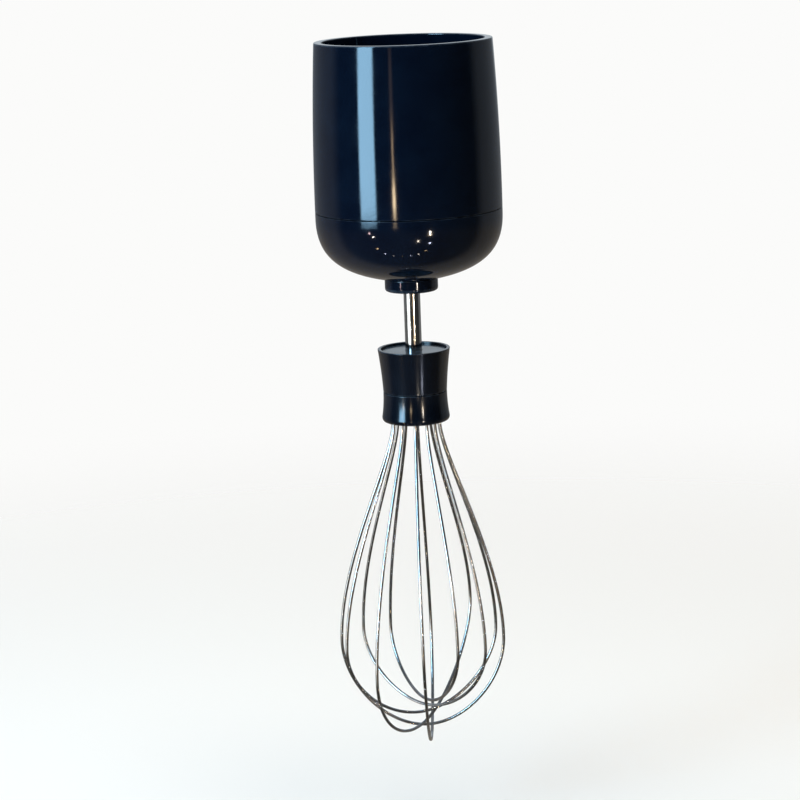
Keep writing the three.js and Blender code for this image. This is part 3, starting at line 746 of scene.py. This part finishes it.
side_top = rim_z - RIM_MARGIN
side_drop = seam_z + SEAM_MARGIN - side_top
side_levels = [side_top + side_drop * k / SIDE_STEPS for k in range(SIDE_STEPS + 1)]
side = [(barrel(z), z, 0) for z in side_levels]
lug_levels = [
    (socket_radius, level + 0.1 * k, 0)
    for level in (LUG_TOP - LUG_HEIGHT, LUG_TOP)
    for k in range(-2, 3)
]
cup = turned(
    "drive_cup",
    rounded(
        (socket_radius, rim_z, 0.35),
        (barrel(rim_z), rim_z, RIM_ROUND),
        *side,
        (cup_radius, seam_z, SEAM_EASE),
        (cup_bore, seam_z),
        (cup_bore, ledge_bottom),
        (socket_radius - LEDGE_WIDTH, ledge_bottom),
        (socket_radius - LEDGE_WIDTH, rim_z - SOCKET_DEPTH),
        (socket_radius, rim_z - SOCKET_DEPTH, 0.3),
        *lug_levels,
    ),
    sides=CUP_SIDES,
    shift=lug,
)
finished("drive_cup", cup, "gear_housing", "cup_plastic", "drive_housing")

# %% [markdown]
# ## Motor dog
# Down in the socket stands the dog that the motor's spindle turns. It is a moulded star on a round
# flange. The star is the round sweep again, pushed in between its lobes by a cosine, so every edge
# keeps its easing. A thin steel slinger under it keeps splashes out of the bearing.

# %% Motor dog
LOBES = 6
LOBE_DEPTH = 0.9
FLANGE_THICKNESS = 1.6
DOG_ROOF = 2
DOG_LEAD = 0.7
LOBE_FADE = 1.2  # the lobes fade in from the flange, over less than its width
FIT_GAP = 0.12  # round a piece in its hole

dog_flange, dog_top, dog_bottom = extent("drive_coupling")
dog_radius = dog_flange - 2 * LOBE_DEPTH
dog_bore = extent("input_shaft")[0] + FIT_GAP
flange_top = dog_bottom + FLANGE_THICKNESS


def lobes(radius, z, angle):
    """Pushes the star's side in between its lobes, and leaves the flange and the bore round."""
    if z < flange_top - 0.01 or radius < dog_radius / 2:
        return 0
    share = min(1, LOBE_FADE * (dog_flange - radius) / (dog_flange - dog_radius))
    return -share * LOBE_DEPTH * (1 - math.cos(LOBES * angle))


dog = turned(
    "motor_dog",
    rounded(
        (dog_bore, dog_bottom),
        (dog_flange, dog_bottom, 0.2),
        (dog_flange, flange_top, 0.25),
        (dog_radius, flange_top, 0.2),
        (dog_radius, dog_top, DOG_LEAD),
        (0, dog_top, 0),
        (0, dog_top - DOG_ROOF, 0),
        (dog_bore, dog_top - DOG_ROOF),
    ),
    sides=192,
    shift=lobes,
)
finished("motor_dog", dog, "input_drive", "coupling_nylon", "drive_coupling")

slinger_radius, slinger_top, slinger_bottom = extent("coupling_slinger")
slinger = turned(
    "splash_slinger",
    rounded(
        (dog_bore, slinger_bottom, 0.08),
        (slinger_radius, slinger_bottom, 0.12),
        (slinger_radius, slinger_top, 0.12),
        (dog_bore, slinger_top, 0.08),
    ),
)
finished("splash_slinger", slinger, "input_drive", "spring_steel", "coupling_slinger")

# %% [markdown]
# ## Gear case cover
# The floor of the socket is the gear case's cover: a moulded plate with a boss for the bearing and
# six stiffening ribs. The plate and boss are one sweep. The ribs repeat round the axis, so one rib
# is made and a Geometry Nodes tree stands the others on a circle, each turned to face outwards.

# %% Gear case cover
COVER_BOSS_WALL = 2.4
COVER_THICKNESS = 2.7

cover_radius, boss_top, cover_bottom = extent("gearbox_cover")
cover_top = cover_bottom + COVER_THICKNESS
bush_radius = extent("input_bushing")[0]
boss_radius = bush_radius + FIT_GAP + COVER_BOSS_WALL
cover = turned(
    "case_cover",
    rounded(
        (bush_radius + FIT_GAP, cover_bottom),
        (cover_radius, cover_bottom, 0.25),
        (cover_radius, cover_top, 0.25),
        (boss_radius, cover_top, 0.35),
        (boss_radius, boss_top, 0.3),
        (bush_radius + FIT_GAP, boss_top),
    ),
)
finished("case_cover", cover, "gear_housing", "case_plastic", "gearbox_cover")

# %% Cover ribs
RIB_COUNT = 6
RIB_WIDTH = 1.6
RIB_HEIGHT = 0.9
RIB_SUNK = 0.2
RIB_EASE = 0.3
SEAT_GAP = 0.3  # between two pieces that sit face to face
rib_start = boss_radius - COVER_BOSS_WALL / 2
rib_length = socket_radius - LEDGE_WIDTH - 2 * SEAT_GAP - rib_start


def opened(name, inputs, output):
    """A Geometry Nodes tree with named sockets, and what its inputs give."""
    tree = bpy.data.node_groups.new(name, "GeometryNodeTree")
    for title, kind in inputs.items():
        tree.interface.new_socket(title, in_out="INPUT", socket_type=f"NodeSocket{kind}")
    tree.interface.new_socket(output, in_out="OUTPUT", socket_type="NodeSocketGeometry")
    return tree, add(tree, "NodeGroupInput").outputs


def closed(tree, shape, finish):
    """Ends a tree: its instances become real, and get their finish."""
    real = add(tree, "GeometryNodeRealizeInstances", {"Geometry": shape}).outputs[0]
    done = add(tree, "GeometryNodeSetMaterial", {"Geometry": real, "Material": finish})
    add(tree, "NodeGroupOutput", {0: done.outputs[0]})
    return tree


def ring_tree():
    """Stands copies of a shape on a circle, each turned to face outwards."""
    inputs = {"Shape": "Object", "Count": "Int", "Radius": "Float", "Finish": "Material"}
    tree, given = opened("ring_of_ribs", inputs, "Ring")
    places = add(
        tree, "GeometryNodeMeshCircle", {"Vertices": given["Count"], "Radius": given["Radius"]}
    ).outputs[0]
    index = add(tree, "GeometryNodeInputIndex").outputs[0]
    share = add(tree, "ShaderNodeMath", {0: index, 1: given["Count"]}, operation="DIVIDE")
    angle = add(tree, "ShaderNodeMath", {0: share.outputs[0], 1: math.tau}, operation="MULTIPLY")
    turn = add(tree, "ShaderNodeCombineXYZ", {"Z": angle.outputs[0]}).outputs[0]
    shape = add(tree, "GeometryNodeObjectInfo", {"Object": given["Shape"]}).outputs["Geometry"]
    copies = add(
        tree,
        "GeometryNodeInstanceOnPoints",
        {"Points": places, "Instance": shape, "Rotation": turn},
    ).outputs[0]
    return closed(tree, copies, given["Finish"])


def made_by(tree, values):
    """The plain mesh that a tree makes from its named inputs."""
    host = bpy.data.objects.new("host", bpy.data.meshes.new("host"))
    bpy.context.scene.collection.objects.link(host)
    modifier = host.modifiers.new("tree", "NODES")
    modifier.node_group = tree
    for socket in tree.interface.items_tree:
        if socket.name in values:
            modifier[socket.identifier] = values[socket.name]
    bpy.context.view_layer.update()
    mesh = bpy.data.meshes.new_from_object(
        host.evaluated_get(bpy.context.evaluated_depsgraph_get())
    )
    host.modifiers.clear()
    bpy.data.objects.remove(host)
    return mesh


rib_mesh = bpy.data.meshes.new("rib")
shape = bmesh.new()
rib_size = (rib_length * MM, RIB_WIDTH * MM, (RIB_HEIGHT + RIB_SUNK) * MM)
bmesh.ops.create_cube(shape, size=1, matrix=Matrix.Diagonal((*rib_size, 1)))
bmesh.ops.bevel(shape, geom=shape.edges, offset=RIB_EASE * MM, segments=4, affect="EDGES")
middle = (cover_top + (RIB_HEIGHT - RIB_SUNK) / 2) * MM
bmesh.ops.translate(shape, verts=shape.verts, vec=(0, 0, middle))
shape.to_mesh(rib_mesh)
shape.free()
rib = bpy.data.objects.new("rib", rib_mesh)
bpy.context.scene.collection.objects.link(rib)
ribs = made_by(
    ring_tree(),
    {
        "Shape": rib,
        "Count": RIB_COUNT,
        "Radius": (rib_start + rib_length / 2) * MM,
        "Finish": finishes["case_plastic"],
    },
)
bpy.data.objects.remove(rib)
finished("cover_ribs", ribs, "gear_housing", "case_plastic")

# %% [markdown]
# ## Lower cap
# The bowl under the seam is a second moulding that plugs into the cup. Its outside is one round
# shoulder that runs into a nearly flat belly, so it is drawn as a single Bezier curve with four
# points; the inside follows the same curve a wall's thickness away, with the post that holds the
# gear case up. The belly is a little deeper here than on the simple solid used for collisions.

# %% Lower cap
CAP_WALL = 2.4
CAP_SIDE, CAP_SHOULDER, CAP_TURN = 0.09, 0.6, 0.86  # heights of the curve's points, as shares
CAP_TURN_RADIUS = 0.8
INNER_SHOULDER, INNER_TURN = 0.5, 0.6  # how far the inside's points move, in walls
CAP_DROP = 0.9  # its belly hangs this much lower than on the collision solid
OUTLET_DROP = 0.55
OUTLET_LIP = 2.85
SPIGOT_WALL = 1.1
POST_WALL = 1.8
HUB_WALL = 1.8
SCREW_HEAD = 1.6

cap_radius, cap_spigot_top, cap_bottom = extent("lower_cap")
cap_floor = cap_bottom + CAP_WALL
cap_bottom -= CAP_DROP
outlet_radius, outlet_top, outlet_bottom = extent("outlet_collar")
outlet_bottom -= OUTLET_DROP
cap_top = seam_z - SEAT_GAP
cap_height = seam_z - cap_bottom
seal_radius, seal_top = extent("shaft_seal")[:2]
output_bush_radius = extent("output_bushing")[0]
hub_radius = output_bush_radius + FIT_GAP + HUB_WALL
plate_bottom = extent("case_screw_1")[2] + SCREW_HEAD + SEAT_GAP


def cap_curve(inset, steps):
    """The cap's outside, or the same line moved in by a wall, from the seam to the outlet."""
    shoulder_z = cap_top - CAP_SHOULDER * cap_height + INNER_SHOULDER * inset
    turn_radius = CAP_TURN_RADIUS * cap_radius - INNER_TURN * inset
    points = (
        (cap_radius - inset, cap_top - CAP_SIDE * cap_height),
        (cap_radius - inset, shoulder_z),
        (turn_radius, cap_top - CAP_TURN * cap_height + inset),
        (outlet_radius, cap_bottom + inset),
    )
    curve = []
    for step in range(steps + 1):
        t = step / steps
        shares = ((1 - t) ** 3, 3 * t * (1 - t) ** 2, 3 * t * t * (1 - t), t**3)
        radius, z = (sum(s * p[axis] for s, p in zip(shares, points)) for axis in (0, 1))
        curve.append((radius, z, 0))
    return curve


spigot = cup_bore - SEAT_GAP
post_inner = hub_radius + SEAT_GAP
post_outer = post_inner + POST_WALL
outlet_hole = outlet_radius - OUTLET_LIP + FIT_GAP
inside = reversed(cap_curve(CAP_WALL, 40))
inside = [point for point in inside if point[0] > post_outer + SEAT_GAP]
cap = turned(
    "bowl_cap",
    rounded(
        (cap_radius, cap_top, SEAM_EASE),
        *cap_curve(0, 72),
        (outlet_hole, cap_bottom),
        (outlet_hole, cap_floor),
        (seal_radius + FIT_GAP, cap_floor, 0),
        (seal_radius + FIT_GAP, seal_top),
        (post_inner, seal_top, 0),
        (post_inner, plate_bottom - SEAT_GAP),
        (post_outer, plate_bottom - SEAT_GAP),
        (post_outer, inside[0][1], 0),
        *inside,
        (spigot - SPIGOT_WALL, cap_top, 0),
        (spigot - SPIGOT_WALL, cap_spigot_top),
        (spigot, cap_spigot_top),
        (spigot, cap_top, 0),
    ),
    sides=CUP_SIDES,
)
finished("bowl_cap", cap, "gear_housing", "cup_plastic", "lower_cap")

# %% [markdown]
# ## Outlet collar
# A small turned disc under the bowl guides the shaft. Its lower edge is well rounded, and it stands
# on a slightly narrower neck, which draws a dark line under the bowl.

# %% Outlet collar
NECK_HEIGHT = 0.15
NECK_INSET = 0.6
OUTLET_ROUND = 1.1
OUTLET_FACE = 0.8
OUTPUT_BUSH_WALL = 1.5
RUN_GAP = 0.15  # round a piece that turns

shaft_radius, shaft_top, shaft_end = extent("whisk_shaft")
shaft_hole = shaft_radius + 2 * RUN_GAP
sleeve_run = output_bush_radius - OUTPUT_BUSH_WALL
collar_disc_top = cap_bottom - NECK_HEIGHT
outlet = turned(
    "outlet_collar_disc",
    rounded(
        (sleeve_run, outlet_top),
        (outlet_radius - OUTLET_LIP, outlet_top),
        (outlet_radius - OUTLET_LIP, cap_bottom - NECK_HEIGHT / 2),
        (outlet_radius - NECK_INSET, cap_bottom - NECK_HEIGHT / 2),
        (outlet_radius - NECK_INSET, collar_disc_top),
        (outlet_radius, collar_disc_top, 0.35),
        (outlet_radius, outlet_bottom, OUTLET_ROUND),
        (shaft_hole, outlet_bottom, 0.25),
        (shaft_hole, outlet_bottom + OUTLET_FACE),
        (sleeve_run, outlet_bottom + OUTLET_FACE),
    ),
)
finished("outlet_collar_disc", outlet, "gear_housing", "cup_plastic", "outlet_collar")

# %% [markdown]
# ## Whisk shaft
# A ground steel rod with a hexagon at its top, which the sleeve drives, and a groove that the
# chuck spring snaps into. Both are hidden at rest and show when the whisk is pulled out, so they
# are cut for real. The hexagon comes from the same sweep: its stretch of the rod is pushed in to a
# six-sided outline.

# %% Whisk shaft
HEX_CUT = 0.24
HEX_LENGTH = 8
GROOVE_WIDTH = 1.4
GROOVE_DEPTH = 0.45
GROOVE_EASE = 0.08

groove_z = sum(extent("chuck_spring")[1:]) / 2
groove_top, groove_bottom = groove_z + GROOVE_WIDTH / 2, groove_z - GROOVE_WIDTH / 2
groove_radius = shaft_radius - GROOVE_DEPTH
hex_bottom = shaft_top - HEX_LENGTH


def hexagon(radius, z, angle):
    """Pushes the top of the rod in to a hexagon whose corners lie just inside the rod."""
    if z < hex_bottom - 0.02 or radius < 0.5:
        return 0
    across = (shaft_radius - HEX_CUT) * math.cos(math.pi / 6)
    face = math.remainder(angle - math.pi / 6, math.pi / 3)
    return min(0, across / math.cos(face) - shaft_radius) * radius / shaft_radius


rod = turned(
    "steel_rod",
    rounded(
        (0, shaft_top, 0),
        (shaft_radius, shaft_top, 0.4),
        (shaft_radius, hex_bottom + 0.01, 0),
        (shaft_radius, hex_bottom - 0.06, 0.1),
        (shaft_radius, groove_top, GROOVE_EASE),
        (groove_radius, groove_top - GROOVE_DEPTH, GROOVE_EASE),
        (groove_radius, groove_bottom + GROOVE_DEPTH, GROOVE_EASE),
        (shaft_radius, groove_bottom, GROOVE_EASE),
        (shaft_radius, shaft_end, 0.3),
        (0, shaft_end, 0),
    ),
    sides=96,
    shift=hexagon,
)
finished("steel_rod", rod, "whisk", "polished_steel", "whisk_shaft", smooth=30)

# %% [markdown]
# ## Whisk collar
# Two waisted mouldings grip the wires' ends: a tall upper cone with a flat disc set into its top,
# and a lower cuff with a well-rounded foot. Their sides are hollow curves, so each is one bend from
# rim to waist, and a hair of a gap between them draws the seam.

# %% Whisk collar
COLLAR_TOP_FLARE = 1.5
COLLAR_LOW_FLARE = 0.7
COLLAR_WALL = 1.2
COLLAR_ROUND = 1.6
CONE_PULL, CONE_REACH = 0.2, 0.44  # where the cone's bend is steered, out and up from the waist
CUFF_REACH = 0.45

top_radius, collar_top, waist_z = extent("collar_upper")
low_radius, low_top, collar_bottom = extent("collar_lower")
disc_radius, disc_top, disc_bottom = extent("collar_disc")
core_radius = extent("wire_core")[0]
waist_radius = low_radius - COLLAR_LOW_FLARE
inner_radius = waist_radius - COLLAR_WALL
seat = disc_bottom - SEAT_GAP
upper_height = collar_top - waist_z
low_height = low_top - collar_bottom + SEAT_GAP

upper_side = bend(
    (top_radius, collar_top),
    (waist_radius + CONE_PULL * COLLAR_TOP_FLARE, waist_z + CONE_REACH * upper_height),
    (waist_radius, waist_z),
    30,
)
upper = turned(
    "collar_cone",
    rounded(
        (disc_radius + FIT_GAP, collar_top, 0.22),
        (top_radius, collar_top, 0.25),
        *[(*point, 0) for point in upper_side[1:-1]],
        (waist_radius, waist_z, 0.16),
        (inner_radius, waist_z),
        (inner_radius, seat - COLLAR_WALL),
        (disc_radius - COLLAR_WALL / 2, seat),
        (disc_radius + FIT_GAP, seat),
    ),
)
finished("collar_cone", upper, "whisk", "collar_plastic", "collar_upper")

lid = turned(
    "collar_lid",
    rounded(
        (shaft_radius + FIT_GAP, disc_top, 0.15),
        (disc_radius, disc_top, 0.2),
        (disc_radius, disc_bottom),
        (shaft_radius + FIT_GAP, disc_bottom),
    ),
)
finished("collar_lid", lid, "whisk", "disc_plastic", "collar_disc")

corner_z = collar_bottom + COLLAR_ROUND
low_side = bend(
    (waist_radius, low_top),
    (waist_radius, low_top - CUFF_REACH * low_height),
    (low_radius, corner_z),
    24,
)
foot = bend(
    (low_radius, corner_z),
    (low_radius, collar_bottom),
    (low_radius - COLLAR_ROUND, collar_bottom),
    14,
)
lower = turned(
    "collar_cuff",
    rounded(
        (core_radius + FIT_GAP, low_top),
        (waist_radius, low_top, 0.16),
        *[(*point, 0) for point in low_side[1:]],
        *[(*point, 0) for point in foot],
        (core_radius + FIT_GAP, collar_bottom, 0.15),
    ),
)
finished("collar_cuff", lower, "whisk", "collar_plastic", "collar_lower")

# %% [markdown]
# ## Wires
# Each loop is one length of bright drawn wire, bent into a balloon with both ends straight up
# inside the collar. A path and a round section is all it needs, so the path is a curve with seven
# points, and a Geometry Nodes tree sweeps the section along it and turns the loop to its place
# round the axis. A whisk that has been used is never quite even, so the tree also lets a loop's
# tip lean, and one side of it hang lower than the other. The tree runs once a loop.

# %% Wire tree
WIRE_RADIUS = 0.55
WIRE_CIRCLE = 8.2
BELLY_RADIUS = reach_of("wire_loop_1") - WIRE_RADIUS
BELLY_STEP = 0.5
BELLY_DROP = 80
NECK_EASE, FLANK_EASE, FOOT_EASE = 0.16, 0.37, 0.5  # how far each bend keeps its direction
STRAIGHT = 3  # how far a wire runs on straight at the collar's foot
WIRE_SPACING = 0.9  # between two rings of the swept mesh
WIRE_SIDES = 16
PATH_STEPS = 48
LOOP_BEARINGS = (-3, 87, -37, -73, 52, 26)  # degrees, from the outermost loop to the innermost
# How much lower one side of a loop hangs, in millimetres at half the belly's radius.
LOOP_SAGS = (0.0, 0.0, 5.4, 1.0, 0.0, -0.8)
# How far a loop's tip leans out of true, in millimetres, across its plane and along it.
LOOP_LEANS = ((1.5, 0.0), (0.4, -0.6), (0.8, 0.5), (-0.5, 0.7), (0.3, -0.5), (-0.4, 0.3))


def wire_tree():
    """Sweeps a round section along a path, leans it, turns it and gives it its finish."""
    floats = ("Wire radius", "Turn", "Spacing", "Mouth height", "Tip depth", "Sag")
    inputs = {"Path": "Object", **dict.fromkeys(floats, "Float")}
    inputs |= {"Section sides": "Int", "Lean": "Vector", "Finish": "Material"}
    tree, given = opened("bent_wire", inputs, "Wire")
    path = add(tree, "GeometryNodeObjectInfo", {"Object": given["Path"]})
    even = add(
        tree,
        "GeometryNodeResampleCurve",
        {"Curve": path.outputs["Geometry"], "Length": given["Spacing"]},
        mode="LENGTH",
    )
    place = add(tree, "GeometryNodeInputPosition").outputs[0]
    spot = add(tree, "ShaderNodeSeparateXYZ", {"Vector": place}).outputs
    share = add(
        tree,
        "ShaderNodeMapRange",
        {"Value": spot["Z"], "From Min": given["Mouth height"], "From Max": given["Tip depth"]},
        interpolation_type="SMOOTHSTEP",
    ).outputs["Result"]
    drop = add(tree, "ShaderNodeMath", {0: spot["X"], 1: given["Sag"]}, operation="MULTIPLY")
    low_side = add(tree, "ShaderNodeCombineXYZ", {"Z": drop.outputs[0]}).outputs[0]
    whole = add(
        tree, "ShaderNodeVectorMath", {0: given["Lean"], 1: low_side}, operation="SUBTRACT"
    ).outputs[0]
    shift = add(
        tree, "ShaderNodeVectorMath", {0: whole, "Scale": share}, operation="SCALE"
    ).outputs[0]
    leaning = add(
        tree, "GeometryNodeSetPosition", {"Geometry": even.outputs[0], "Offset": shift}
    ).outputs[0]
    section = add(
        tree,
        "GeometryNodeCurvePrimitiveCircle",
        {"Resolution": given["Section sides"], "Radius": given["Wire radius"]},
    ).outputs[0]
    swept = add(
        tree,
        "GeometryNodeCurveToMesh",
        {"Curve": leaning, "Profile Curve": section, "Fill Caps": True},
    ).outputs[0]
    turn = add(tree, "ShaderNodeCombineXYZ", {"Z": given["Turn"]}).outputs[0]
    placed = add(tree, "GeometryNodeTransform", {"Geometry": swept, "Rotation": turn}).outputs[0]
    return closed(tree, placed, given["Finish"])


wires = wire_tree()
print("wire tree nodes:", len(wires.nodes))

# %% Wire loops
def loop_path(nest):
    """A loop's centre line in the XZ plane, and the heights of its mouth and tip."""
    low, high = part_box(f"wire_loop_{nest + 1}")
    belly = BELLY_RADIUS - BELLY_STEP * nest
    end_z, tip_z = high.z / MM, low.z / MM + WIRE_RADIUS
    mouth_z = collar_bottom - WIRE_RADIUS
    belly_z = collar_bottom - BELLY_DROP
    neck_z = mouth_z - NECK_EASE * BELLY_DROP
    flank_z = belly_z + FLANK_EASE * BELLY_DROP
    half = [
        # place, handle towards the start, handle towards the tip
        ((WIRE_CIRCLE, end_z), (WIRE_CIRCLE, end_z), (WIRE_CIRCLE, end_z - STRAIGHT)),
        ((WIRE_CIRCLE, mouth_z), (WIRE_CIRCLE, mouth_z + STRAIGHT), (WIRE_CIRCLE, neck_z)),
        ((belly, belly_z), (belly, flank_z), (belly, (belly_z + tip_z) / 2)),
        ((0, tip_z), (FOOT_EASE * belly, tip_z), (-FOOT_EASE * belly, tip_z)),
    ]
    mirrored = [
        tuple((-r, z) for r, z in (place, after, before))
        for place, before, after in reversed(half[:-1])
    ]
    data = bpy.data.curves.new(f"loop_path_{nest + 1}", "CURVE")
    data.dimensions = "3D"
    data.resolution_u = PATH_STEPS
    spline = data.splines.new("BEZIER")
    spline.bezier_points.add(len(half) + len(mirrored) - 1)
    for knot, places in zip(spline.bezier_points, half + mirrored):
        knot.handle_left_type = knot.handle_right_type = "FREE"
        knot.co, knot.handle_left, knot.handle_right = (
            Vector((r * MM, 0, z * MM)) for r, z in places
        )
    path = bpy.data.objects.new(data.name, data)
    bpy.context.scene.collection.objects.link(path)
    return path, mouth_z * MM, tip_z * MM


def swept_loop(nest):
    """One wire loop as a plain mesh."""
    path, mouth, tip = loop_path(nest)
    across, along = LOOP_LEANS[nest]
    mesh = made_by(
        wires,
        {
            "Path": path,
            "Wire radius": WIRE_RADIUS * MM,
            "Turn": math.radians(LOOP_BEARINGS[nest] - 90),
            "Spacing": WIRE_SPACING * MM,
            "Mouth height": mouth,
            "Tip depth": tip,
            "Sag": LOOP_SAGS[nest] / (BELLY_RADIUS / 2),
            "Section sides": WIRE_SIDES,
            "Lean": Vector((along * MM, across * MM, 0)),
            "Finish": finishes["wire_steel"],
        },
    )
    bpy.data.objects.remove(path)
    return mesh


for nest in range(len(LOOP_BEARINGS)):
    name = f"steel_loop_{nest + 1}"
    finished(name, swept_loop(nest), "whisk", "wire_steel", f"wire_loop_{nest + 1}", smooth=60)

# %% [markdown]
# ## Lights for the steel
# Steel and gloss plastic want different lights: the low glow that turns the rod white would lie as
# a grey patch on the cup. In a studio a card would shade the cup from it. Light linking does the
# same: a light that is given a collection lights only what is in it.

# %% Lights for the steel
steel = bpy.data.collections.new("steel")
for item in bpy.data.objects:
    if item.name.startswith("steel_"):
        steel.objects.link(item)
for lamp in for_steel:
    lamp.light_linking.receiver_collection = steel

# %% [markdown]
# ## The rest of the CAD parts
# What lies sealed inside keeps its CAD shape and only gets its finish. The record lists which slot
# each CAD part's finish comes from, so the two can't drift apart.

# %% Finishes on the CAD parts
for part in frame["record"]["subparts"]:
    node = frame["nodes"][part["node"]]
    if not node.hide_render:
        node.data.materials.clear()
        node.data.materials.append(finishes[part["material_slot"]])
shown = [node for node in frame["nodes"].values() if not node.hide_render]
print("CAD parts kept:", len(shown))
